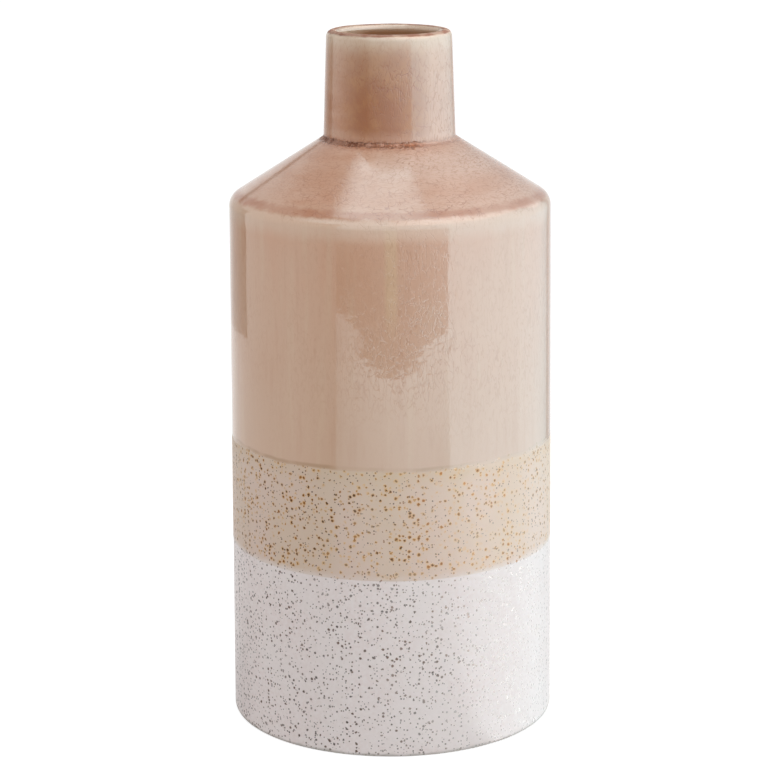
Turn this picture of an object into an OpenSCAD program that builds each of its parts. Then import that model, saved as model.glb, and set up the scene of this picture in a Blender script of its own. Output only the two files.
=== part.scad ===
// Stoneware bottle vase: a tall, nearly straight body, a conical shoulder and a short collar neck.
// Five clay sections are luted together, and three glaze coats are fired over them.
// The origin is the centre of the foot, and +Z runs up the vase's axis.

/* [Body] */
// Height from the table to the crest of the lip
vase_height = 300; // [280:1:340]
// Diameter at the foot, over the glaze
foot_diameter = 142; // [130:1:156]
// Diameter at the shoulder crease, over the glaze
crease_diameter = 138; // [128:1:150]
// Height of the crease, where wall and shoulder would meet without rounding
crease_height = 229; // [215:1:236]
// Rounding of the crease
crease_radius = 6; // [3:0.5:8]
// Thickness of the thrown clay
clay_thickness = 5; // [4:0.5:6]
// Thickness of the clay floor
floor_thickness = 6; // [4:0.5:9]

/* [Neck] */
// Diameter where the neck rises from the shoulder, over the glaze
neck_root_diameter = 56.6; // [54:0.2:60]
// Diameter at the top of the neck, over the glaze
neck_top_diameter = 53.6; // [52:0.2:56]
// Height where shoulder and neck meet
neck_root_height = 254.8; // [252:0.2:262]
// Bore of the throat, over the glaze
throat_diameter = 43; // [40:0.2:43]
// Outer rounding of the lip
lip_outer_radius = 3; // [2:0.1:3]
// Inner rounding of the lip
lip_inner_radius = 2.3; // [1.5:0.1:2.3]

/* [Foot] */
// Height of the bare foot ring
foot_height = 3; // [2:0.5:5]
// Width of the foot ring's tread
foot_width = 9; // [8:0.5:14]
// Rounding of the foot's outer edge
foot_edge_radius = 1.5; // [1:0.1:2]

/* [Joints between the clay sections] */
// Height where the wall's half-lap joint starts
wall_joint_height = 195; // [150:1:205]
// Height of the half-lap
wall_lap = 4; // [2:0.5:8]
// Thickness of the spigot that sets the neck into the shoulder
spigot_thickness = 2.5; // [2:0.1:3]
// Depth of the seat that the neck stands in
seat_depth = 1.6; // [1:0.1:2.4]

/* [Glaze] */
// Thickness of one full coat
coat = 0.8; // [0.6:0.05:1]
// Thickness of the blush coat where it laps over the speckled one
lap_coat = 0.35; // [0.2:0.05:0.4]
// How far the bare speckled coat lies below the blush coat's face
speckled_step = 0.1; // [0.05:0.05:0.15]
// Height of the speckled coat's upper edge, under the blush coat
speckled_top = 125.3; // [110:0.1:160]
// Height of the blush coat's lower edge, over the speckled coat
blush_bottom = 78.6; // [50:0.1:100]
// How far the blush coat runs down inside the throat
throat_dip = 28; // [10:1:35]

/* [Hidden] */
$fn = 128;

clay_colour = "#cdb79c";
liner_colour = "#cfc3b2";
speckled_colour = "#dcd3ce";
blush_colour = "#cfa88f";

arc_step = 10;              // degrees between the points of an arc
foot_lean = 1;              // the foot ring's inner face leans in by this much
foot_inner_edge = 0.6;      // rounding of the foot ring's inner edge
foot_coat_end = -32;        // the speckled coat stops at this angle round the foot's edge
root_fillet = 1.5;          // glaze pooled in the corner between shoulder and neck
feather = 1;                // height over which a coat's covered edge thins out
bead = 0.4;                 // height of the blush coat's rounded lower edge

foot_r = foot_diameter / 2;
crease_r = crease_diameter / 2;
root_r = neck_root_diameter / 2;
top_r = neck_top_diameter / 2;
throat_r = throat_diameter / 2;
clay_in = coat + clay_thickness;        // depth of the clay's inner face below the glaze
clay_mid = coat + clay_thickness / 2;   // depth of the half-lap's step
liner_in = clay_in + coat;              // depth of the liner's face
floor_z = foot_height + floor_thickness;
lap_z = wall_joint_height + wall_lap;
throat_coat_z = vase_height - throat_dip;

// The outside is three straight lines: wall, shoulder and neck. Each has a point and a direction
foot_p = [foot_r, 0];
crease_p = [crease_r, crease_height];
root_p = [root_r, neck_root_height];
wall_dir = atan2(crease_height, crease_r - foot_r);
cone_dir = atan2(neck_root_height - crease_height, root_r - crease_r);
neck_dir = atan2(vase_height - lip_outer_radius - neck_root_height, top_r - root_r);

// A point moved into the body by a depth, square to a line's direction
function inset(p, dir, depth) = p - depth * [sin(dir), -cos(dir)];
function cross2(a, b) = a.x * b.y - a.y * b.x;
function unit(dir) = [cos(dir), sin(dir)];
// Where a line through p meets a line through q
function meet(p, dir_p, q, dir_q) =
    p + unit(dir_p) * cross2(q - p, unit(dir_q)) / cross2(unit(dir_p), unit(dir_q));
// Points of an arc, both ends included
function arc(centre, radius, from, to) =
    let (steps = max(2, ceil(abs(to - from) / arc_step)))
    [for (i = [0:steps]) centre + radius * unit(from + (to - from) * i / steps)];
function reversed(points) = [for (i = [len(points) - 1:-1:0]) points[i]];

// The three lines at a depth below the glaze surface, read at a height or a radius
function wall_at(z, depth) = meet(inset(foot_p, wall_dir, depth), wall_dir, [0, z], 0);
function neck_at(z, depth) = meet(inset(root_p, neck_dir, depth), neck_dir, [0, z], 0);
function cone_at(r, depth) = meet(inset(root_p, cone_dir, depth), cone_dir, [r, 0], 90);
function crease(depth) =
    meet(inset(foot_p, wall_dir, depth), wall_dir, inset(crease_p, cone_dir, depth), cone_dir);
function root(depth) =
    meet(inset(root_p, cone_dir, depth), cone_dir, inset(root_p, neck_dir, depth), neck_dir);

// The rounded stretches, at a depth below the glaze surface
function foot_arc(depth, from) =
    arc(wall_at(foot_edge_radius, coat + foot_edge_radius), foot_edge_radius + coat - depth,
        from, wall_dir - 90);
function crease_arc(depth) =
    arc(crease(crease_radius), crease_radius - depth, wall_dir - 90, cone_dir - 90);
function root_arc() = arc(root(-root_fillet), root_fillet, cone_dir + 90, neck_dir + 90);
function lip_outer_arc(depth) =
    arc(neck_at(vase_height - lip_outer_radius, lip_outer_radius), lip_outer_radius - depth,
        neck_dir - 90, 90);
function lip_inner_arc(depth) =
    arc([throat_r + lip_inner_radius, vase_height - lip_inner_radius], lip_inner_radius - depth,
        90, 180);

module turned(profile) {
    rotate_extrude() polygon(profile);
}

// Bare ring that the vase stands on
module foot_ring() {
    inner_r = foot_r - coat - foot_width;
    color(clay_colour) turned(concat(
        arc([inner_r + foot_lean + foot_inner_edge, foot_inner_edge], foot_inner_edge, 180, 270),
        foot_arc(coat, -90),
        [wall_at(foot_height, coat), [inner_r, foot_height]]
    ));
}

// Floor of the vase, set inside the wall and on the foot ring
module base_slab() {
    color(clay_colour) turned([
        [0, foot_height],
        wall_at(foot_height, clay_in),
        wall_at(floor_z, clay_in),
        [0, floor_z]
    ]);
}

// Thrown wall, with the lower half of the half-lap joint at its top
module body_wall() {
    color(clay_colour) turned([
        wall_at(foot_height, coat),
        wall_at(wall_joint_height, coat),
        wall_at(wall_joint_height, clay_mid),
        wall_at(lap_z, clay_mid),
        wall_at(lap_z, clay_in),
        wall_at(foot_height, clay_in)
    ]);
}

// Shoulder section: a short skirt, the crease, the cone and the seat for the neck
module shoulder() {
    seat_z = root(coat).y - seat_depth;
    spigot_r = throat_r + coat + spigot_thickness;
    color(clay_colour) turned(concat(
        [wall_at(wall_joint_height, coat)],
        crease_arc(coat),
        [
            root(coat),
            [root(coat).x, seat_z],
            [spigot_r, seat_z],
            cone_at(spigot_r, clay_in),
            crease(clay_in),
            wall_at(lap_z, clay_in),
            wall_at(lap_z, clay_mid),
            wall_at(wall_joint_height, clay_mid)
        ]
    ));
}

// Collar neck with its rounded lip and the spigot that enters the shoulder
module neck_collar() {
    seat_z = root(coat).y - seat_depth;
    bore_r = throat_r + coat;
    spigot_r = bore_r + spigot_thickness;
    color(clay_colour) turned(concat(
        [cone_at(spigot_r, clay_in), [spigot_r, seat_z], [root(coat).x, seat_z], root(coat)],
        lip_outer_arc(coat),
        lip_inner_arc(coat),
        [cone_at(bore_r, clay_in)]
    ));
}

// Waterproof coat over the floor, the wall and the lower throat
module liner_glaze() {
    bore_r = throat_r + coat;
    color(liner_colour) turned([
        [0, floor_z],
        wall_at(floor_z, clay_in),
        crease(clay_in),
        cone_at(bore_r, clay_in),
        [bore_r, throat_coat_z],
        [throat_r, throat_coat_z],
        cone_at(throat_r, liner_in),
        crease(liner_in),
        wall_at(floor_z + coat, liner_in),
        [0, floor_z + coat]
    ]);
}

// Satin white coat with iron specks, from the foot's edge to its feathered top under the blush coat
module speckled_glaze() {
    color(speckled_colour) turned(concat(
        foot_arc(speckled_step, foot_coat_end),
        [
            wall_at(blush_bottom, speckled_step),
            wall_at(blush_bottom + bead, lap_coat),
            wall_at(speckled_top - feather, lap_coat),
            wall_at(speckled_top, coat)
        ],
        reversed(foot_arc(coat, foot_coat_end))
    ));
}

// Glossy blush coat, from its lap over the speckled coat up over the lip into the throat
module blush_glaze() {
    color(blush_colour) turned(concat(
        [wall_at(blush_bottom, speckled_step), wall_at(blush_bottom + bead, 0)],
        crease_arc(0),
        root_arc(),
        lip_outer_arc(0),
        lip_inner_arc(0),
        [[throat_r, throat_coat_z], [throat_r + coat, throat_coat_z]],
        reversed(lip_inner_arc(coat)),
        reversed(lip_outer_arc(coat)),
        [root(coat)],
        reversed(crease_arc(coat)),
        [
            wall_at(speckled_top, coat),
            wall_at(speckled_top - feather, lap_coat),
            wall_at(blush_bottom + bead, lap_coat)
        ]
    ));
}

foot_ring();
base_slab();
body_wall();
shoulder();
neck_collar();
liner_glaze();
speckled_glaze();
blush_glaze();
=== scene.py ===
import math

import bpy
import numpy as np
from mathutils import Matrix, Vector


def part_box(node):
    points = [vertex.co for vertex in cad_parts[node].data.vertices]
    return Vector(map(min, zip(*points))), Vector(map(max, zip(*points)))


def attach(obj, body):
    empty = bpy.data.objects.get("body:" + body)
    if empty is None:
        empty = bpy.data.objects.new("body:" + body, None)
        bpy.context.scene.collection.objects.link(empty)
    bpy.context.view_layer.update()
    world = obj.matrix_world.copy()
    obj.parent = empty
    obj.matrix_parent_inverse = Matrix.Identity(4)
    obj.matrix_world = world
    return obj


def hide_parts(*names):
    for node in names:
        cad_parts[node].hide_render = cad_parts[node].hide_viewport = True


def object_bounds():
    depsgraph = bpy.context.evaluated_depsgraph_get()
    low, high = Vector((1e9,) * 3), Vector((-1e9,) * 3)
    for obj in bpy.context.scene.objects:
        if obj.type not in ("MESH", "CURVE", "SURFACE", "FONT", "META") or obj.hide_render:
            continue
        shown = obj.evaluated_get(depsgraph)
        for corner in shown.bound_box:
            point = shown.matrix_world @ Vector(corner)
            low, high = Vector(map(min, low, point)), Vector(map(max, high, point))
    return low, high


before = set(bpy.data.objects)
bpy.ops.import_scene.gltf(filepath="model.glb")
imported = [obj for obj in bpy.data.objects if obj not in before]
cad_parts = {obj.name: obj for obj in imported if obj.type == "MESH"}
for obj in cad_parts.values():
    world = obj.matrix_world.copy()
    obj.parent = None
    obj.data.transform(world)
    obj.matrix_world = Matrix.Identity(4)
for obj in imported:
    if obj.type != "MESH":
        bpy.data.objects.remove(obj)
cad_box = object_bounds()

MM = 0.001

# Camera that stands in front of the vase and looks slightly down
CAMERA_PLACE = Vector((-0.0004, -1.0402, 0.4022))
CAMERA_PITCH = math.radians(14.0)
CAMERA_ROLL = math.radians(-0.33)
LENS_MM = 113.04
SENSOR_MM = 36.0

# How finely the pieces are turned
TURN_STEPS = 384
RING_STEP = 1.0 * MM
ARC_STEP = 0.35 * MM
SMOOTH_TURN = math.radians(25)
STRAIGHT_TURN = math.radians(0.25)
SAME_POINT = 0.002 * MM

# How near a CAD point on the seam is to the seam's plane and side, and the digits that tell points apart
ON_SEAM, ON_AXIS, POINT_DIGITS = 1e-7, 1e-9, 6

# How far hand-glazed and hand-trimmed faces stray from the true form: inward, and downward at the blush
# coat's hem. The hem's waves fade out over HEM_REACH, and the trim rings are TRIM_PITCH apart
GLAZE_WOBBLE = 0.16 * MM
HEM_WAVE = 0.45 * MM
HEM_REACH = 4.0 * MM
TRIM_GROOVE = 0.12 * MM
TRIM_PITCH = 1.9 * MM

# The direction, seen from above, in which the coat on the neck is thinnest
THIN_SIDE = Vector((-0.08, -0.997))

# Iron specks: how far apart they lie, their largest radii, and the share of places that hold one
SPECK_SPACING, SPECK_RADIUS, HALO_RADIUS = 1.9 * MM, 0.66 * MM, 1.35 * MM
DUST_SPACING, DUST_RADIUS = 1.35 * MM, 0.45 * MM
SPECK_SHARE = 0.6
# The specks show this much larger where no blush covers them
BARE_SPECK_GROWTH = 1.12

GLAZE_IOR_GLOSS, GLAZE_IOR_SATIN, CLAY_IOR = 1.52, 1.5, 1.45

# Share of a piece's bake square that its hidden faces get, and the gap between its strips
HIDDEN_SHARE = 0.06
STRIP_GAP = 0.008

# Piece edges sharper than this are shaded as edges
SHARP_EDGE = math.radians(40)

# Random waves that the unevenness is made of: their number, and the most cycles round and up
BODY_WAVE_SET = (40, 9, 14)
HEM_WAVE_SET = (24, 18, 0)
# How fast the share of finer waves falls, and how far their sum swings round the middle
WAVE_FALL, WAVE_SWING = -0.6, 0.9

rng = np.random.default_rng(7)


# ---------------------------------------------------------------- outlines

def seam_walk(node):
    """The (radius, height) points along a turned node's seam, with the clay or glaze on the left."""
    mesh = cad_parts[node].data
    spot = [(round(v.co.x, POINT_DIGITS), round(v.co.z, POINT_DIGITS)) for v in mesh.vertices]
    on_seam = [abs(v.co.y) < ON_SEAM and v.co.x > -ON_AXIS for v in mesh.vertices]
    beside = {}
    for edge in mesh.edges:
        a, b = edge.vertices
        if on_seam[a] and on_seam[b] and spot[a] != spot[b]:
            beside.setdefault(spot[a], set()).add(spot[b])
            beside.setdefault(spot[b], set()).add(spot[a])
    ends = sorted(p for p in beside if len(beside[p]) == 1)
    walk = [ends[0] if ends else min(beside)]
    while len(walk) < len(beside):
        walk.append(min(p for p in beside[walk[-1]] if p not in walk))
    points = np.array(walk)
    r, z = points.T
    area = np.sum(r * np.roll(z, -1) - np.roll(r, -1) * z)
    return points if area > 0 else points[::-1]


def outline(node):
    """A turned node's outline with only the points where it bends, from its lowest point or from the axis."""
    points = seam_walk(node)
    before = points - np.roll(points, 1, axis=0)
    after = np.roll(points, -1, axis=0) - points
    turn = np.abs(before[:, 0] * after[:, 1] - before[:, 1] * after[:, 0])
    bends = turn > math.sin(STRAIGHT_TURN) * np.hypot(*before.T) * np.hypot(*after.T)
    on_axis = points[:, 0] < SAME_POINT
    points = points[bends | on_axis]
    if on_axis.any():
        return points
    return np.roll(points, -int(np.argmin(points[:, 1])), axis=0)


def without_repeats(points):
    far = np.hypot(*np.diff(points, axis=0).T) > SAME_POINT
    return points[np.concatenate([[True], far])]


def parted(path, height):
    """Parts a path in two at the first place where it crosses a height on its way up."""
    for i in range(len(path) - 1):
        a, b = path[i], path[i + 1]
        if a[1] <= height < b[1]:
            cut = a + (b - a) * (height - a[1]) / (b[1] - a[1])
            return (without_repeats(np.vstack([path[:i + 1], cut])),
                    without_repeats(np.vstack([cut, path[i + 1:]])))
    raise ValueError("the path does not cross that height")


def fine(points):
    """Adds points along a path: evenly where it is straight, and on a smooth curve where it bends gently."""
    points = without_repeats(points)
    edges = np.diff(points, axis=0)
    lengths = np.hypot(*edges.T)
    units = edges / lengths[:, None]
    leaving, arriving = units.copy(), units.copy()
    for i in range(1, len(units)):
        if units[i - 1] @ units[i] > math.cos(SMOOTH_TURN):
            tangent = units[i - 1] * lengths[i - 1] + units[i] * lengths[i]
            arriving[i - 1] = leaving[i] = tangent / np.hypot(*tangent)
    out = [points[0]]
    for i, length in enumerate(lengths):
        straight = leaving[i] @ arriving[i] > math.cos(STRAIGHT_TURN)
        steps = max(1, math.ceil(length / (RING_STEP if straight else ARC_STEP)))
        for t in np.arange(1, steps + 1) / steps:
            towards = 3 * t**2 - 2 * t**3
            out.append((1 - towards) * points[i] + towards * points[i + 1]
                       + length * (t**3 - 2 * t**2 + t) * leaving[i]
                       + length * (t**3 - t**2) * arriving[i])
    return np.array(out)


# ---------------------------------------------------------------- turned meshes

def wave_table(count, most_round, most_up):
    """Random waves round and up the vase: share, cycles round, cycles up and phase of each."""
    around = rng.integers(1, most_round + 1, count)
    up = rng.uniform(-most_up, most_up, count)
    share = (1 + around**2 + up**2) ** WAVE_FALL
    return share / np.sum(share), around, up, rng.uniform(0, 2 * math.pi, count)


def waves(table, angle, height):
    """Smooth random values from 0 to 1 that close round the vase."""
    total = 0
    for share, around, up, phase in zip(*table):
        total = total + share * np.cos(around * angle + 2 * math.pi * up * height / cad_box[1].z + phase)
    return np.clip(0.5 + WAVE_SWING * total, 0, 1)


BODY_WAVES = wave_table(*BODY_WAVE_SET)
HEM_WAVES = wave_table(*HEM_WAVE_SET)


def turned(name, skin, back, wobble=0.0, hem=0.0, groove=0.0, strips=2):
    """Turns a closed outline. skin is the path that shows, and back closes the outline behind it.
    wobble presses the skin in at random, hem lets its start hang lower in waves, groove cuts trim rings.
    The skin is laid out for baking in that many strips, each a part of the turn."""
    path = np.vstack([skin, back])
    shown, count = len(skin), len(path)
    angle = np.arange(TURN_STEPS) * 2 * math.pi / TURN_STEPS
    radius = np.repeat(path[:, :1], TURN_STEPS, axis=1)
    height = np.repeat(path[:, 1:], TURN_STEPS, axis=1)
    along = np.gradient(skin, axis=0)
    along /= np.hypot(*along.T)[:, None]
    depth = wobble * waves(BODY_WAVES, angle[None, :], skin[:, 1:])
    if groove:
        turns = (np.hypot(skin[:, :1], skin[:, 1:]) / TRIM_PITCH + angle[None, :] / (2 * math.pi))
        depth = depth + groove * (0.5 + 0.5 * np.sin(2 * math.pi * turns))
    radius[:shown] -= depth * along[:, 1:]
    height[:shown] += depth * along[:, :1]
    if hem:
        fade = np.clip(1 - (skin[:, 1:] - skin[:, 1].min()) / HEM_REACH, 0, 1)
        height[:shown] -= hem * waves(HEM_WAVES, angle[None, :], 0) * fade

    on_axis = path[:, 0] < SAME_POINT
    verts = []
    index = np.zeros((count, TURN_STEPS), int)
    for i in range(count):
        index[i] = len(verts) if on_axis[i] else len(verts) + np.arange(TURN_STEPS)
        ring = np.stack([radius[i] * np.cos(angle), radius[i] * np.sin(angle), height[i]], axis=1)
        verts += (np.array([[0.0, 0.0, path[i, 1]]]) if on_axis[i] else ring).tolist()

    length = np.concatenate([[0.0], np.cumsum(np.hypot(*np.diff(path, axis=0).T))])
    skin_length = length[shown - 1]
    hidden_length = length[-1] - skin_length + RING_STEP
    per_strip = TURN_STEPS // strips
    strip_share = (1 - HIDDEN_SHARE) / strips
    faces, uvs = [], []
    for i in range(count):
        j = (i + 1) % count
        if on_axis[i] and on_axis[j]:
            continue
        for s in range(TURN_STEPS):
            t = (s + 1) % TURN_STEPS
            if j > i and j < shown:
                strip, place = divmod(s, per_strip)
                left, right = place / per_strip, (place + 1) / per_strip
                start = HIDDEN_SHARE + strip * strip_share
                low, high = [start + (strip_share - STRIP_GAP) * length[n] / skin_length for n in (i, j)]
            else:
                left, right = s / TURN_STEPS, (s + 1) / TURN_STEPS
                ends = (length[i], length[j] if j > i else length[i] + RING_STEP)
                room = HIDDEN_SHARE - STRIP_GAP
                low, high = [room * (n - skin_length) / hidden_length for n in ends]
            quad = [index[i, s], index[i, t], index[j, t], index[j, s]]
            corners = [(left, low), (right, low), (right, high), (left, high)]
            if on_axis[i]:
                quad, corners = quad[1:], corners[1:]
            elif on_axis[j]:
                quad, corners = quad[:3], corners[:3]
            faces.append([int(n) for n in quad])
            uvs += corners
    mesh = bpy.data.meshes.new(name)
    mesh.from_pydata(verts, [], faces)
    mesh.uv_layers.new(name="OFBake").data.foreach_set("uv", np.array(uvs, np.float32).ravel())
    mesh.shade_smooth()
    mesh.set_sharp_from_angle(angle=SHARP_EDGE)
    made = bpy.data.objects.new(name, mesh)
    bpy.context.scene.collection.objects.link(made)
    return made


# ---------------------------------------------------------------- materials

class Shader:
    """One material's nodes, with short calls for what the glazes and the clay share."""

    def __init__(self, name):
        self.material = bpy.data.materials.new(name)
        self.material.use_nodes = True
        self.tree = self.material.node_tree
        self.surface = self.tree.nodes["Principled BSDF"]
        self.position = self.new("ShaderNodeTexCoord").outputs["Object"]
        self.x, self.y, self.z = self.new("ShaderNodeSeparateXYZ", Vector=self.position).outputs

    def new(self, kind, settings=None, **inputs):
        node = self.tree.nodes.new(kind)
        for key, value in (settings or {}).items():
            setattr(node, key, value)
        for key, value in inputs.items():
            self.put(node.inputs[key.replace("_", " ")], value)
        return node

    def put(self, socket, value):
        if isinstance(value, bpy.types.NodeSocket):
            self.tree.links.new(value, socket)
        elif socket.type == "RGBA":
            socket.default_value = (*value, 1.0)
        else:
            socket.default_value = value

    def math(self, operation, a, b=0.0, c=0.0):
        node = self.new("ShaderNodeMath", {"operation": operation})
        for socket, value in zip(node.inputs, (a, b, c)):
            self.put(socket, value)
        return node.outputs[0]

    def times(self, first, *others):
        for other in others:
            first = self.math("MULTIPLY", first, other)
        return first

    def fit(self, value, low, high, to_low=0.0, to_high=1.0):
        """Eases low..high over to to_low..to_high and holds the ends."""
        node = self.new("ShaderNodeMapRange", {"interpolation_type": "SMOOTHSTEP"}, Value=value)
        ends = {"From Min": low, "From Max": high, "To Min": to_low, "To Max": to_high}
        for key, number in ends.items():
            self.put(node.inputs[key], number)
        return node.outputs["Result"]

    def band(self, value, centre, half, soft):
        """1 within half of the centre, and 0 beyond that and soft."""
        away = self.math("ABSOLUTE", self.math("SUBTRACT", value, centre))
        return self.fit(away, half + soft, half)

    def mix(self, share, a, b):
        node = self.new("ShaderNodeMix", {"data_type": "RGBA"})
        for socket, value in ((0, share), (6, a), (7, b)):
            self.put(node.inputs[socket], value)
        return node.outputs[2]

    def at(self, stretch=(1, 1, 1), shift=(0, 0, 0), warp=0.0, warp_size=5 * MM, where=None):
        """Coordinates, the object's own if no others are given, stretched, shifted and warped by noise."""
        place = self.new("ShaderNodeMapping", Vector=where or self.position, Scale=stretch, Location=shift)
        place = place.outputs[0]
        if not warp:
            return place
        noise = self.new("ShaderNodeTexNoise", Vector=place, Scale=1 / warp_size, Detail=1.0)
        centred = self.new("ShaderNodeVectorMath", {"operation": "SUBTRACT"})
        self.put(centred.inputs[0], noise.outputs["Color"])
        self.put(centred.inputs[1], (0.5, 0.5, 0.5))
        moved = self.new("ShaderNodeVectorMath", {"operation": "MULTIPLY_ADD"})
        self.put(moved.inputs[0], centred.outputs[0])
        self.put(moved.inputs[1], (warp, warp, warp))
        self.put(moved.inputs[2], place)
        return moved.outputs[0]

    def noise(self, size, detail=2.0, roughness=0.5, where=None):
        return self.new("ShaderNodeTexNoise", Vector=where or self.position, Scale=1 / size,
                        Detail=detail, Roughness=roughness).outputs["Fac"]

    def uneven(self, value, size, reach, detail=2.0, roughness=0.5):
        """A value that noise moves up and down, by half of reach each way."""
        lowered = self.math("SUBTRACT", value, reach / 2)
        return self.math("MULTIPLY_ADD", self.noise(size, detail, roughness), reach, lowered)

    def cells(self, size, where, feature="F1"):
        return self.new("ShaderNodeTexVoronoi", {"feature": feature}, Vector=where, Scale=1 / size)

    def bump(self, height, strength, distance, under=None):
        node = self.new("ShaderNodeBump", Strength=strength, Distance=distance, Height=height)
        if under:
            self.put(node.inputs["Normal"], under)
        return node.outputs[0]

    def dots(self, spacing, radius, share, soft=0.35, shift=(0, 0, 0)):
        """Dots in that share of the cells, up to that radius: the mask and a random value for each."""
        cells = self.cells(spacing, self.at(shift=shift, warp=0.8 * radius, warp_size=0.8 * MM))
        draw = self.new("ShaderNodeSeparateColor", Color=cells.outputs["Color"]).outputs
        reach = self.times(self.fit(draw[0], 1 - share, 1.0, 0.55, 1.0), radius / spacing)
        inside = self.fit(self.math("DIVIDE", cells.outputs["Distance"], reach), 1.0, 1 - soft)
        return self.times(inside, self.math("GREATER_THAN", draw[0], 1 - share)), draw[1]

    def specks(self, grown=1.0):
        """The iron specks in the speckled coat: the mask, the large ones' halos and a random darkness."""
        large, draw = self.dots(SPECK_SPACING, grown * SPECK_RADIUS, SPECK_SHARE)
        halo, _ = self.dots(SPECK_SPACING, HALO_RADIUS, SPECK_SHARE, soft=0.65)
        small, _ = self.dots(DUST_SPACING, grown * DUST_RADIUS, SPECK_SHARE, shift=(0.5, 0.3, 0.1))
        drift = self.noise(20 * MM, 2.0, where=self.at(shift=(0.7, 0.2, 0.0)))
        drift = self.fit(drift, 0.35, 0.6, 0.7, 1.0)
        mask = self.math("MAXIMUM", self.times(large, drift), self.times(small, 0.95))
        return mask, self.times(halo, drift), draw

    def cracks(self, size, width, where, shift=(0, 0, 0), warp=0.0):
        """A net of fine lines round cells of that size."""
        place = self.at(shift=shift, warp=warp, warp_size=size, where=where)
        edge = self.cells(size, place, "DISTANCE_TO_EDGE").outputs["Distance"]
        return self.fit(edge, width / size, 0.25 * width / size)

    def wrinkles(self, size, half, where):
        """Fine wavy lines, about that far apart."""
        return self.band(self.noise(size, 1.0, 0.5, where), 0.5, 0.25 * half, 0.75 * half)

    def finish(self, color, roughness, normal, ior, lustre=0.0):
        """Sets the surface. lustre makes dark iron partly metallic, so that it reflects its own colour."""
        self.put(self.surface.inputs["Base Color"], color)
        self.put(self.surface.inputs["Roughness"], roughness)
        self.put(self.surface.inputs["Normal"], normal)
        self.put(self.surface.inputs["IOR"], ior)
        self.put(self.surface.inputs["Metallic"], lustre)
        return self.material


def speckled_material():
    """Satin white glaze, freckled all through with iron."""
    s = Shader("speckled_white_glaze")
    grey_white, warm_white, bright_white = (0.72, 0.625, 0.605), (0.735, 0.665, 0.645), (0.765, 0.69, 0.675)
    halo_brown, darkest_iron, lightest_iron = (0.50, 0.40, 0.32), (0.028, 0.011, 0.007), (0.095, 0.043, 0.027)
    base = s.mix(s.fit(s.noise(24 * MM, 3.0), 0.38, 0.62), grey_white, warm_white)
    base = s.mix(s.fit(s.noise(1.6 * MM, 3.0), 0.3, 0.7), base, bright_white)
    specks, halo, draw = s.specks(BARE_SPECK_GROWTH)
    base = s.mix(s.times(halo, 0.14), base, halo_brown)
    fainter_right = s.fit(s.x, 15 * MM, 60 * MM, 0.96, 0.62)
    color = s.mix(s.times(specks, fainter_right), base, s.mix(draw, darkest_iron, lightest_iron))

    # painted contact shadow: the coat is darkened grey-brown along the foot's lowest edge
    thin = s.fit(s.math("MULTIPLY_ADD", s.noise(6 * MM), -2 * MM, s.z), 1.2 * MM, -0.6 * MM)
    color = s.mix(s.times(thin, 0.7), color, (0.30, 0.26, 0.22))
    rough = s.math("MULTIPLY_ADD", specks, 0.15, s.fit(s.noise(3 * MM), 0.3, 0.7, 0.36, 0.46))
    normal = s.bump(s.noise(9 * MM), 0.4, 0.25 * MM)
    normal = s.bump(s.noise(0.9 * MM), 0.3, 0.03 * MM, normal)
    normal = s.bump(specks, 0.5, 0.04 * MM, normal)
    return s.finish(color, rough, normal, GLAZE_IOR_SATIN, s.times(specks, specks, 0.8))


def over_cone(s):
    """Coordinates in which patterns stretch round the shoulder's cone."""
    rise = s.math("SUBTRACT", s.z, crease_z)
    return s.new("ShaderNodeCombineXYZ", X=s.times(s.x, 0.3), Y=s.times(s.y, 0.3),
                 Z=s.times(rise, 1.4)).outputs[0]


def blush_ground(s, broad, on_cone, on_neck, thin_side):
    """The blush glaze's colour: streaked on the wall, mottled on the cone, golden on the neck, with painted
    light on the neck's right side.
    """
    wall_low, wall_high, wall_cloud = (0.575, 0.375, 0.255), (0.60, 0.345, 0.225), (0.60, 0.395, 0.275)
    streak_pale, streak_dark = (0.62, 0.44, 0.30), (0.50, 0.27, 0.17)
    cone_dark, cone_pale = (0.475, 0.235, 0.135), (0.545, 0.325, 0.225)
    gold_dark, gold_pale = (0.325, 0.120, 0.042), (0.38, 0.162, 0.056)
    neck_painted_light, neck_top, run_pale = (0.66, 0.46, 0.35), (0.62, 0.46, 0.33), (0.65, 0.46, 0.27)

    streak = s.noise(4.5 * MM, 3.0, 0.55, s.at(stretch=(1, 1, 0.09)))
    mottle = s.noise(9 * MM, 3.0, 0.55, s.at(shift=(0.2, 0.5, 0.4), where=over_cone(s)))
    base = s.mix(s.fit(s.z, lap_top, crease_z), wall_low, wall_high)
    base = s.mix(s.fit(broad, 0.35, 0.65, 0.0, 0.55), base, wall_cloud)
    base = s.mix(s.fit(streak, 0.54, 0.70, 0.0, 0.28), base, streak_pale)
    base = s.mix(s.fit(streak, 0.44, 0.30, 0.0, 0.20), base, streak_dark)
    cone = s.mix(s.fit(mottle, 0.35, 0.65), cone_dark, cone_pale)
    base = s.mix(s.times(on_cone, 0.75), base, cone)

    # painted light: the neck turns paler towards its lit right side
    base = s.mix(s.times(on_neck, s.fit(s.x, 4 * MM, 18 * MM, 0.0, 0.6)), base, neck_painted_light)
    golden = s.mix(s.fit(s.noise(8 * MM, 3.0, 0.55), 0.36, 0.66), gold_dark, gold_pale)
    base = s.mix(s.times(on_neck, thin_side), base, golden)
    base = s.mix(s.fit(s.z, top_z - 30 * MM, top_z - 4 * MM, 0.0, 0.26), base, neck_top)

    # one pale run down the front of the wall
    run_height = s.times(s.fit(s.z, crease_z - 52 * MM, crease_z - 30 * MM),
                         s.fit(s.z, crease_z, crease_z - 4 * MM))
    in_front = s.fit(s.y, 0.01 * MM, 0.0)
    run = s.times(s.band(s.x, 0.3 * MM, 1.2 * MM, 2.4 * MM), in_front, run_height, 0.48)
    return s.mix(run, base, run_pale)


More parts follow.
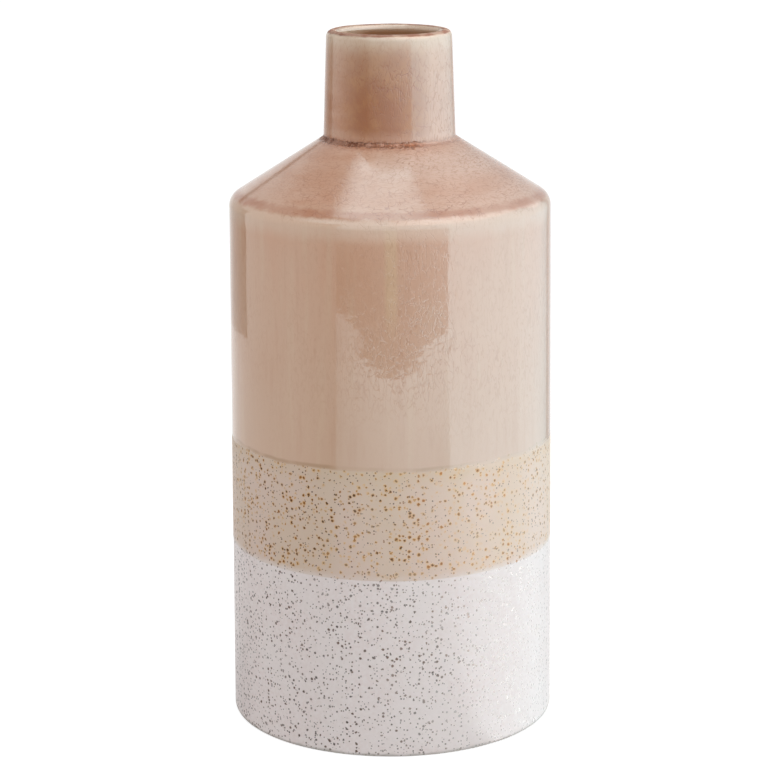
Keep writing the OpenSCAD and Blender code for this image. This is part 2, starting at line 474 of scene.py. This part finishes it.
def blush_painted_reflections(s, base):
    """Painted pale reflections below the lip, below the crease and on the upper cone, and a faint pale band
    at the foot of the neck.
    """
    lip_painted_reflection, root_pale = (0.68, 0.56, 0.43), (0.66, 0.50, 0.38)
    crease_painted_reflection, cone_painted_reflection = (0.67, 0.53, 0.41), (0.62, 0.46, 0.37)
    height = s.uneven(s.z, 7 * MM, 3 * MM)
    # painted reflection of the front softbox: a pale band just under the lip
    fade = s.fit(height, top_z - 13 * MM, top_z - 2.0 * MM)
    base = s.mix(s.times(fade, fade, 0.62), base, lip_painted_reflection)
    base = s.mix(s.times(s.band(height, neck_z + 4.2 * MM, 0.4 * MM, 2.4 * MM), 0.08), base, root_pale)
    # painted reflection of the front softbox: a pale band just below the crease
    base = s.mix(s.times(s.band(height, crease_z - 1.5 * MM, 1.0 * MM, 7.5 * MM), 0.45), base, crease_painted_reflection)
    # painted reflection of the overhead softbox: a pale ring on the upper cone, stronger to the right
    ring = s.times(s.band(s.z, neck_z - 7 * MM, 2 * MM, 4 * MM), s.fit(s.x, -14 * MM, 4 * MM, 0.0, 0.4))
    return s.mix(ring, base, cone_painted_reflection)


def blush_lap(s, base, broad):
    """Over the speckled coat the blush is thin and cool, and the specks bleed into it."""
    line_brown, lap_dark, lap_pale = (0.40, 0.24, 0.13), (0.58, 0.45, 0.35), (0.61, 0.47, 0.395)
    lap_edge, hem_pale = (0.55, 0.41, 0.28), (0.70, 0.61, 0.57)
    halo_gold, bleed_brown = (0.60, 0.32, 0.06), (0.30, 0.115, 0.010)
    darkest_iron, golden_iron = (0.034, 0.0075, 0.0012), (0.15, 0.045, 0.003)

    edge = s.uneven(s.z, 18 * MM, 2.4 * MM)
    soft = s.fit(s.x, 5 * MM, 50 * MM, 0.7 * MM, 3.0 * MM)
    lap = s.fit(edge, s.math("ADD", soft, lap_top), s.math("SUBTRACT", lap_top, soft))
    broken = s.fit(s.noise(16 * MM, 3.0, where=s.at(shift=(0.9, 0.1, 0.2))), 0.38, 0.58, 0.25, 1.0)
    fainter_right = s.fit(s.x, 40 * MM, 0.0, 0.3, 0.7)
    line = s.times(s.band(edge, lap_top + 0.8 * MM, 0.3 * MM, 1.1 * MM), broken, fainter_right)
    base = s.mix(line, base, line_brown)
    base = s.mix(s.times(lap, 0.9), base, s.mix(s.fit(broad, 0.35, 0.65), lap_dark, lap_pale))
    base = s.mix(s.times(s.fit(edge, lap_top - 9 * MM, lap_top - 1 * MM), lap, 0.5), base, lap_edge)

    specks, halo, draw = s.specks()
    patchy = s.fit(s.noise(15 * MM, 2.0, where=s.at(shift=(0.1, 0.4, 0.8))), 0.38, 0.58, 0.45, 1.0)
    base = s.mix(s.times(halo, patchy, lap, 0.95), base, halo_gold)
    base = s.mix(s.times(s.fit(halo, 0.55, 0.98), patchy, lap, 0.9), base, bleed_brown)
    hem_height = s.math("MULTIPLY_ADD", s.noise(5 * MM), -2.4 * MM, s.z)
    hem = s.fit(hem_height, hem_z + 1.4 * MM, hem_z - 1.4 * MM)
    paler_sides = s.fit(s.math("ABSOLUTE", s.x), 10 * MM, 50 * MM, 0.35, 0.85)
    base = s.mix(s.times(hem, paler_sides), base, hem_pale)
    iron = s.mix(s.fit(draw, 0.3, 0.95), darkest_iron, golden_iron)
    return s.mix(s.times(specks, lap, 0.95), base, iron), lap, specks


def blush_breaks(s, base, reach):
    """Brown where the coat breaks thin over the crease and the lip, dark where it pools under the neck with
    painted shade, and painted shade down the throat.
    """
    crease_brown, pool_edge, pool_dark = (0.40, 0.155, 0.07), (0.36, 0.13, 0.055), (0.09, 0.024, 0.008)
    lip_brown, throat_painted_shade = (0.14, 0.04, 0.014), (0.25, 0.11, 0.045)

    height = s.uneven(s.z, 5 * MM, 2.6 * MM, 3.0, 0.6)
    gathered = s.fit(s.noise(17 * MM, 2.0, where=s.at(shift=(0.4, 0.9, 0.0))), 0.36, 0.6, 0.55, 0.95)
    base = s.mix(s.times(s.band(height, crease_z + 2.6 * MM, 0.3 * MM, 1.9 * MM), gathered), base,
                 crease_brown)

    height = s.uneven(s.z, 1.5 * MM, 3.0 * MM, 3.0, 0.7)
    broken = s.fit(s.noise(3.5 * MM, 3.0, 0.6, s.at(shift=(0.6, 0.6, 0.1))), 0.35, 0.6, 0.5, 1.0)
    # the line under the neck is pooled iron glaze with painted shade: darker on the left, away from the key
    # light, and at the front
    painted_shade_side = s.times(s.fit(s.x, 20 * MM, 10 * MM, 0.35, 1.0), s.fit(s.y, 12 * MM, -6 * MM, 0.4, 1.0))
    base = s.mix(s.times(s.band(height, neck_z + 0.2 * MM, 0.4 * MM, 2.4 * MM), painted_shade_side, 0.8), base, pool_edge)
    pool_and_shade = s.times(s.band(height, neck_z + 0.3 * MM, 0.3 * MM, 1.0 * MM), broken, painted_shade_side)
    base = s.mix(pool_and_shade, base, pool_dark)

    height = s.math("MULTIPLY_ADD", s.noise(3 * MM), 0.5 * MM, s.z)
    thin = s.times(s.fit(height, top_z - 1.2 * MM, top_z - 0.5 * MM),
                   s.fit(reach, crest_radius - 1.7 * MM, crest_radius - 0.9 * MM))
    broken = s.fit(s.noise(6 * MM, 3.0), 0.35, 0.6, 0.7, 0.98)
    base = s.mix(s.times(thin, broken), base, lip_brown)
    # painted shade down the throat: deeper below the lip and lighter on the far left, where the light falls
    # in
    inside = s.times(s.fit(reach, crest_radius, crest_radius - 0.8 * MM),
                     s.fit(s.z, top_z - 0.6 * MM, top_z - 4.0 * MM), s.fit(s.x, -18 * MM, -8 * MM, 0.3, 1.0))
    return s.mix(s.times(inside, 0.9), base, throat_painted_shade), pool_and_shade, thin


def blush_crackle(s, on_cone, thin_side):
    """Wavy wrinkles and a broken net of cracks, upright on wall and neck and round on the cone."""
    cone_only = s.math("SUBTRACT", on_cone, s.fit(s.z, neck_z - 1 * MM, neck_z + 1 * MM))
    upright = s.at(stretch=(1, 1, 0.3), warp=1.6 * MM, warp_size=4 * MM)
    around = s.at(warp=1.0 * MM, warp_size=2.5 * MM, where=over_cone(s))
    wrinkles = s.mix(cone_only, s.wrinkles(1.7 * MM, 0.042, upright), s.wrinkles(1.1 * MM, 0.05, around))
    upright = s.at(stretch=(1, 1, 0.6))
    around = s.at(shift=(0.0, 0.1, 0.4), stretch=(1, 1, 1.4))
    net = s.mix(cone_only, s.cracks(3.2 * MM, 0.18 * MM, upright, warp=2.4 * MM),
                s.cracks(3.0 * MM, 0.24 * MM, around, warp=2.2 * MM))

    gaps = s.fit(s.noise(3.0 * MM, 2.0, where=s.at(shift=(0.8, 0.3, 0.6))), 0.42, 0.60, 0.05, 1.0)
    patchy = s.fit(s.noise(38 * MM, 2.0, where=s.at(shift=(0.0, 0.6, 0.3))), 0.38, 0.62, 0.45, 1.0)
    patchy = s.times(patchy, s.fit(s.x, -30 * MM, 10 * MM, 0.45, 1.0))
    rising = s.times(s.fit(s.z, lap_top - 8 * MM, lap_top + 55 * MM, 0.12, 1.0),
                     s.fit(s.z, top_z - 3 * MM, top_z - 18 * MM, 0.35, 1.0))
    from_crease = s.math("ABSOLUTE", s.math("SUBTRACT", s.z, crease_z - 2 * MM))
    wrinkles = s.times(wrinkles, patchy, rising, s.fit(from_crease, 3 * MM, 12 * MM, 0.3, 1.0))
    net = s.times(net, gaps, patchy, rising, s.fit(thin_side, 0.2, 0.92, 0.5, 1.0))
    return wrinkles, net


def blush_material():
    """Glossy blush glaze: brown where it breaks thin, with painted pale reflections, painted light and
    painted shade, streaked, and finely crazed.
    """
    wrinkle_brown, crack_brown = (0.34, 0.13, 0.05), (0.30, 0.10, 0.04)
    s = Shader("blush_crackle_glaze")
    on_cone = s.fit(s.z, crease_z - 1 * MM, crease_z + 3 * MM)
    on_neck = s.fit(s.z, neck_z - 2 * MM, neck_z + 6 * MM)
    broad = s.noise(24 * MM, 2.0, 0.5, s.at(stretch=(1, 1, 0.45), shift=(0.3, 0.1, 0.0)))
    flat = s.at(stretch=(1, 1, 0))
    reach = s.new("ShaderNodeVectorMath", {"operation": "LENGTH"}, Vector=flat).outputs["Value"]
    side = s.math("MULTIPLY_ADD", s.x, THIN_SIDE.x, s.times(s.y, THIN_SIDE.y))
    thin_side = s.fit(s.math("DIVIDE", side, reach), 0.66, 0.93, 0.28, 1.0)

    base = blush_ground(s, broad, on_cone, on_neck, thin_side)
    base = blush_painted_reflections(s, base)
    base, lap, specks = blush_lap(s, base, broad)
    base, pool_and_shade, thin = blush_breaks(s, base, reach)
    wrinkles, net = blush_crackle(s, on_cone, thin_side)
    above_crease = (s.z, crease_z - 2 * MM, crease_z + 2 * MM)
    color = s.mix(s.times(wrinkles, s.fit(*above_crease, 0.26, 0.65)), base, wrinkle_brown)
    color = s.mix(s.times(net, s.fit(*above_crease, 0.14, 0.9)), color, crack_brown)

    # mirror-smooth on the wall, satin over the speckled coat, and a little softer on cone and neck
    rough = s.math("MULTIPLY_ADD", lap, 0.42, s.fit(s.noise(12 * MM), 0.3, 0.7, 0.015, 0.035))
    rough = s.math("MULTIPLY_ADD", on_cone, 0.09, rough)
    rough = s.math("MULTIPLY_ADD", s.math("MAXIMUM", pool_and_shade, thin), 0.5, rough)

    normal = s.bump(s.fit(s.z, crease_z - 9 * MM, crease_z + 1 * MM, 1.0, 0.0), 1.0, 0.45 * MM)
    normal = s.bump(s.noise(13 * MM, 1.0, 0.4), 0.16, 0.25 * MM, normal)
    ripple = s.math("MULTIPLY_ADD", on_cone, 0.020, 0.0012)
    normal = s.bump(s.times(s.noise(2.2 * MM), ripple), 1.0, 1 * MM, normal)
    normal = s.bump(s.noise(2.6 * MM, 0.0), 1.0, 0.008 * MM, normal)
    normal = s.bump(wrinkles, 1.0, -0.028 * MM, normal)
    normal = s.bump(net, 1.0, -0.032 * MM, normal)
    normal = s.bump(pool_and_shade, 1.0, -0.4 * MM, normal)

    lustre = s.math("MAXIMUM", s.times(pool_and_shade, pool_and_shade, pool_and_shade, 0.6), s.times(thin, 0.2))
    lustre = s.math("MAXIMUM", lustre, s.times(specks, specks, lap, 0.8))
    return s.finish(color, rough, normal, GLAZE_IOR_GLOSS, lustre)


def liner_material():
    """Glossy clear liner over the clay, darkened by what shows through."""
    s = Shader("clear_liner_glaze")
    base = s.mix(s.fit(s.noise(9 * MM, 3.0), 0.3, 0.7), (0.40, 0.27, 0.18), (0.52, 0.38, 0.27))
    specks, _, _ = s.specks()
    color = s.mix(s.times(specks, 0.6), base, (0.16, 0.09, 0.05))
    rough = s.fit(s.noise(10 * MM), 0.3, 0.7, 0.12, 0.2)
    return s.finish(color, rough, s.bump(s.noise(8 * MM), 0.3, 0.3 * MM), GLAZE_IOR_GLOSS)


def clay_material():
    """Bare fired stoneware: buff, gritty and dry."""
    s = Shader("fired_stoneware_clay")
    buff_dark, buff_pale, grit = (0.50, 0.38, 0.27), (0.60, 0.47, 0.34), (0.42, 0.31, 0.22)
    grog_dark, grog_pale = (0.26, 0.18, 0.12), (0.66, 0.56, 0.45)
    base = s.mix(s.fit(s.noise(14 * MM, 3.0), 0.3, 0.7), buff_dark, buff_pale)
    grog, draw = s.dots(1.5 * MM, 0.42 * MM, 0.5)
    base = s.mix(s.times(grog, 0.5), base, s.mix(draw, grog_dark, grog_pale))
    color = s.mix(s.fit(s.noise(0.5 * MM, 3.0), 0.3, 0.7, 0.0, 0.35), base, grit)
    normal = s.bump(s.noise(0.45 * MM, 4.0, 0.65), 0.6, 0.08 * MM)
    normal = s.bump(grog, 0.5, 0.05 * MM, normal)
    return s.finish(color, s.fit(s.noise(2 * MM), 0.3, 0.7, 0.78, 0.92), normal, CLAY_IOR)


# ---------------------------------------------------------------- the pieces

def stand_in(name, node, material, skin, back, **how):
    """A turned piece, with its material, that stands in for a CAD node, which it hides."""
    made = turned(name, skin, back, **how)
    made.data.materials.append(material)
    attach(made, "root")
    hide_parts(node)


NOTHING = np.zeros((0, 2))
FULL_RADIUS_SHARE = 0.97

top_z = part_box("blush_glaze")[1].z
lap_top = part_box("speckled_glaze")[1].z
hem_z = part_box("blush_glaze")[0].z
joint_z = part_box("shoulder")[0].z
neck_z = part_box("shoulder")[1].z

blush = outline("blush_glaze")
throat = int(np.lexsort((blush[:, 1], blush[:, 0]))[0])
outer = np.vstack([blush[-1], blush[:throat + 2]])
inner = blush[:throat:-1]
crest_radius = float(blush[np.argmax(blush[:, 1]), 0])
# the wall keeps nearly its full radius up to the crease
crease_z = float(outer[outer[:, 0] > FULL_RADIUS_SHARE * outer[:, 0].max(), 1].max())
band_skin, rest_skin = parted(outer, lap_top)
band_back, rest_back = parted(inner, lap_top)
wall_skin, top_skin = parted(rest_skin, joint_z)
wall_back, top_back = parted(rest_back, joint_z)
glaze = blush_material()
stand_in("blush_band", "blush_glaze", glaze, fine(band_skin), band_back[:0:-1],
         wobble=GLAZE_WOBBLE, hem=HEM_WAVE, strips=3)
stand_in("blush_wall", "blush_glaze", glaze, fine(wall_skin), wall_back[::-1], wobble=GLAZE_WOBBLE)
stand_in("blush_top", "blush_glaze", glaze, fine(top_skin), top_back[-2::-1], wobble=GLAZE_WOBBLE)

speckled = outline("speckled_glaze")
crest = int(np.argmax(speckled[:, 1]))
stand_in("speckled_coat", "speckled_glaze", speckled_material(), fine(speckled[:crest + 1]),
         speckled[crest + 1:], wobble=GLAZE_WOBBLE)

liner = outline("liner_glaze")
crest = int(np.argmax(liner[:, 1]))
low_skin, high_skin = parted(liner[:crest:-1], joint_z)
low_back, high_back = parted(liner[:crest + 1], joint_z)
glaze = liner_material()
stand_in("liner_floor_and_wall", "liner_glaze", glaze, fine(low_skin[::-1]), low_back)
stand_in("liner_shoulder_and_throat", "liner_glaze", glaze, fine(high_skin[::-1]), high_back)

clay = clay_material()
stand_in("trimmed_foot", "foot_ring", clay, fine(outline("foot_ring")), NOTHING, groove=TRIM_GROOVE)
slab_low, slab_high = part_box("base_slab")
slab = np.array([[0, slab_low.z], [slab_high.x, slab_low.z],
                 [slab_high.x, slab_high.z], [0, slab_high.z]])
stand_in("trimmed_floor", "base_slab", clay, fine(slab), NOTHING, groove=TRIM_GROOVE)
for node in ("body_wall", "shoulder", "neck_collar"):
    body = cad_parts[node].data
    body.materials.clear()
    body.materials.append(clay)


# ---------------------------------------------------------------- studio

# The room round the vase: a drum of cards with a ceiling, and a table that ends before the drum
ROOM_RADIUS, ROOM_FLOOR, WALL_TOP, CEILING = 0.95, -0.75, 0.90, 1.25
SLOPE_TOP_RADIUS = 0.34
BACKDROP_TOP = 0.5
SHADE_TOP, HORIZON_LOW, HORIZON_HIGH = 0.04, 0.28, 0.56
TABLE_FRONT, TABLE_LEFT, TABLE_BACK = 0.81, 0.87, 0.82
TABLE_MIDDLE_FRONT, TABLE_MIDDLE_BACK = 0.03, 0.05
RIM_RADIUS = 0.93

# Angles in the room are in degrees, counted from the front towards +X
LEFT_END, LEFT_START, RIGHT_START, RIGHT_END = -120.5, -37, 39.4, 146
CARD_STEPS = 48
COOL = (0.87, 1.02, 1.06)
PLAIN = (1, 1, 1)
RAYS = ("camera", "diffuse", "glossy", "transmission", "volume_scatter", "shadow")

# How bright camera, shading and reflections find the world, and the camera the floor
WORLD_SEEN, WORLD_LIGHT, WORLD_GLOSS = 1.0, 0.66, 0.2
FLOOR_GLOW, FLOOR_REACH = 0.74, 12


def linked(material, kind):
    """A new node of that kind in a material or world, and the tree's links."""
    return material.node_tree.nodes.new(kind), material.node_tree.links


def in_room(degrees, radius, height):
    angle = math.radians(degrees)
    return radius * math.sin(angle), -radius * math.cos(angle), height


def card(name, verts, faces, radiance, tint=PLAIN):
    """A bright surface that only shows as a reflection in the glaze, with a radiance for each point."""
    mesh = bpy.data.meshes.new(name)
    mesh.from_pydata(verts, [], faces)
    mesh.attributes.new("radiance", "FLOAT", "POINT").data.foreach_set("value", radiance)
    material = bpy.data.materials.new(name)
    material.use_nodes = True
    material.node_tree.nodes.clear()
    emission, links = linked(material, "ShaderNodeEmission")
    emission.inputs["Color"].default_value = (*tint, 1)
    reading, _ = linked(material, "ShaderNodeAttribute")
    reading.attribute_name = "radiance"
    output, _ = linked(material, "ShaderNodeOutputMaterial")
    links.new(reading.outputs["Fac"], emission.inputs["Strength"])
    links.new(emission.outputs[0], output.inputs["Surface"])
    mesh.materials.append(material)
    made = bpy.data.objects.new(name, mesh)
    bpy.context.scene.collection.objects.link(made)
    for ray in RAYS:
        setattr(made, "visible_" + ray, ray == "glossy")


def round_card(name, rim, radiance, tint=PLAIN, above=None):
    """A curved card. rim is its lower and its upper edge, each a radius and a height. radiance is a row
    of angles, each with its radiance. above is such a row for the upper edge, where it differs."""
    angles, values = zip(*radiance)
    angles_above, values_above = zip(*(above or radiance))
    verts, faces, glow = [], [], []
    for k in range(CARD_STEPS + 1):
        degrees = angles[0] + (angles[-1] - angles[0]) * k / CARD_STEPS
        verts += [in_room(degrees, radius, height) for radius, height in rim]
        glow += [np.interp(degrees, angles, values), np.interp(degrees, angles_above, values_above)]
    for k in range(CARD_STEPS):
        faces.append((2 * k, 2 * k + 2, 2 * k + 3, 2 * k + 1))
    card(name, verts, faces, glow, tint)


def standing(low, high):
    """The two edges of a card that stands on the drum."""
    return (ROOM_RADIUS, low), (ROOM_RADIUS, high)


# the front is dark below the horizon and brightens upwards and to the right
SHADE = ((LEFT_START, 0.05), (0, 0.85), (RIGHT_START, 2.6))
MIDDLE = ((LEFT_START, 1.5), (0, 2.8), (RIGHT_START, 4.6))
BRIGHT = ((LEFT_START, 3.0), (0, 3.3), (RIGHT_START, 5.6))
round_card("front_shade", standing(ROOM_FLOOR, SHADE_TOP), SHADE)
round_card("front_rise", standing(SHADE_TOP, HORIZON_LOW), SHADE, above=MIDDLE)
round_card("front_fade", standing(HORIZON_LOW, HORIZON_HIGH), MIDDLE, COOL, above=BRIGHT)
round_card("front_softbox", standing(HORIZON_HIGH, WALL_TOP), BRIGHT, COOL)

# the sides, the slopes up to the ceiling and the back
round_card("right_softbox", standing(ROOM_FLOOR, WALL_TOP),
           ((RIGHT_START, 6.3), (75, 6.3), (105, 4.6), (137, 2.0), (RIGHT_END, 1.2)), COOL)
round_card("left_panel", standing(ROOM_FLOOR, WALL_TOP), ((LEFT_END, 1.1), (-70, 1.35), (LEFT_START, 0.8)))
SLOPE = ((ROOM_RADIUS, WALL_TOP), (SLOPE_TOP_RADIUS, CEILING))
round_card("left_slope", SLOPE, ((-100, 0.6), (-60, 2.7), (0, 4.5)), COOL)
round_card("right_slope", SLOPE, ((0, 4.5), (40, 7.0), (80, 7.0), (110, 5.0), (128, 4.2)))
round_card("right_high", ((ROOM_RADIUS, BACKDROP_TOP), (SLOPE_TOP_RADIUS, CEILING)),
           ((128, 3.9), (137, 2.7), (147, 1.6), (160, 0.9), (166, 0.8)))
round_card("backdrop", standing(ROOM_FLOOR, BACKDROP_TOP),
           ((RIGHT_END, 0.75), (150, 0.75), (153, 1.0), (200, 1.0), (211, 0.7), (221, 0.5), (230, 0.3),
            (360 + LEFT_END, 0.05)))

# the table, whose front edge bounds the tongue-shaped reflection on the upper wall
round_card("table_back", ((TABLE_BACK, 0), (TABLE_MIDDLE_BACK, 0)),
           ((LEFT_END - 45, 1.1), (LEFT_END + 4, 1.1)))
left = math.tan(math.radians(LEFT_START))
right = math.tan(math.radians(RIGHT_START))
card("table_front",
     [(left * TABLE_LEFT, -TABLE_LEFT, 0), (0, -TABLE_FRONT, 0), (right * TABLE_FRONT, -TABLE_FRONT, 0),
      (right * TABLE_MIDDLE_FRONT, -TABLE_MIDDLE_FRONT, 0), (0, -TABLE_MIDDLE_FRONT, 0),
      (left * TABLE_MIDDLE_FRONT, -TABLE_MIDDLE_FRONT, 0)],
     [(0, 1, 4, 5), (1, 2, 3, 4)], [1.9, 4.0, 6.0, 2.0, 1.4, 0.8], COOL)
RIM_HEIGHTS = ((LEFT_START, 0.022), (-27, 0.012), (-17, 0.001))
card("table_rim", [in_room(degrees, RIM_RADIUS, z) for degrees, height in RIM_HEIGHTS for z in (0, height)],
     [(0, 2, 3, 1), (2, 4, 5, 3)], [1.9, 1.9, 2.3, 2.3, 2.8, 2.8], COOL)

# the ceiling, and the softbox under it with its softer border
CEILING_REACH, CEILING_GAP = 3, 0.1
CORNERS = ((-1, -1), (1, -1), (1, 1), (-1, 1))
card("ceiling", [(CEILING_REACH * x, CEILING_REACH * y, CEILING + CEILING_GAP) for x, y in CORNERS],
     [(0, 1, 2, 3)], [0.9] * 4)
PATCH = ((-0.225, -0.32), (0.26, -0.32), (0.26, 0.50), (-0.225, 0.50))
BORDER = 1.5
inner_ring = [(x, y, CEILING) for x, y in PATCH]
outer_ring = [(BORDER * x, BORDER * y, CEILING) for x, y in PATCH]
card("overhead_softbox", inner_ring + outer_ring,
     [(0, 1, 2, 3)] + [(k, (k + 1) % 4, (k + 1) % 4 + 4, k + 4) for k in range(4)],
     [5.0] * 4 + [1.6, 3.4, 3.4, 1.6], COOL)


def lamp(name, kind, place, power, aim, **settings):
    """A light for the matt part of the shading."""
    data = bpy.data.lights.new(name, kind)
    data.energy = power
    for key, value in settings.items():
        setattr(data, key, value)
    made = bpy.data.objects.new(name, data)
    made.location = place
    made.rotation_euler = (aim - Vector(place)).to_track_quat("-Z", "Y").to_euler()
    made.visible_camera = False
    made.visible_glossy = False
    bpy.context.scene.collection.objects.link(made)


middle = (cad_box[0] + cad_box[1]) / 2
mouth = Vector((0, 0, cad_box[1].z - 5 * MM))
lamp("key_light", "AREA", (1.0, -0.7, 0.8), 5.6, middle, size=0.9)
lamp("fill_light", "AREA", (-1.0, -0.6, 0.8), 3.8, middle, size=0.9)
lamp("throat_light", "SPOT", (0.85, -0.1, 0.95), 5.0, mouth, spot_size=math.radians(4.5), spot_blend=1.0,
     shadow_soft_size=0.02)

world = bpy.data.worlds.new("studio")
bpy.context.scene.world = world
world.use_nodes = True
background = world.node_tree.nodes["Background"]
background.inputs["Color"].default_value = (*PLAIN, 1)
rays, links = linked(world, "ShaderNodeLightPath")
to_camera, _ = linked(world, "ShaderNodeMix")
to_camera.inputs[2].default_value = WORLD_LIGHT
to_camera.inputs[3].default_value = WORLD_SEEN
to_gloss, _ = linked(world, "ShaderNodeMix")
to_gloss.inputs[3].default_value = WORLD_GLOSS
links.new(rays.outputs["Is Camera Ray"], to_camera.inputs[0])
links.new(to_camera.outputs[0], to_gloss.inputs[2])
links.new(rays.outputs["Is Glossy Ray"], to_gloss.inputs[0])
links.new(to_gloss.outputs[0], background.inputs["Strength"])

floor_mesh = bpy.data.meshes.new("floor")
floor_mesh.from_pydata([(FLOOR_REACH * x, FLOOR_REACH * y, 0) for x, y in CORNERS], [], [(0, 1, 2, 3)])
floor = bpy.data.objects.new("floor", floor_mesh)
bpy.context.scene.collection.objects.link(floor)
floor.visible_glossy = False
paper = bpy.data.materials.new("floor_paper")
paper.use_nodes = True
paper_surface = paper.node_tree.nodes["Principled BSDF"]
paper_surface.inputs["Base Color"].default_value = (0.5, 0.5, 0.5, 1)
paper_surface.inputs["Roughness"].default_value = 1.0
paper_surface.inputs["Specular IOR Level"].default_value = 0.0
paper_surface.inputs["Emission Color"].default_value = (*PLAIN, 1)
rays, links = linked(paper, "ShaderNodeLightPath")
glow, _ = linked(paper, "ShaderNodeMath")
glow.operation = "MULTIPLY"
glow.inputs[1].default_value = FLOOR_GLOW
links.new(rays.outputs["Is Camera Ray"], glow.inputs[0])
links.new(glow.outputs[0], paper_surface.inputs["Emission Strength"])
floor_mesh.materials.append(paper)

camera_data = bpy.data.cameras.new("camera")
camera_data.lens = LENS_MM
camera_data.sensor_width = SENSOR_MM
camera = bpy.data.objects.new("camera", camera_data)
camera.matrix_world = (Matrix.Translation(CAMERA_PLACE)
                       @ Matrix.Rotation(math.pi / 2 - CAMERA_PITCH, 4, "X")
                       @ Matrix.Rotation(CAMERA_ROLL, 4, "Z"))
bpy.context.scene.collection.objects.link(camera)
bpy.context.scene.camera = camera
bpy.context.scene.view_settings.view_transform = "Standard"
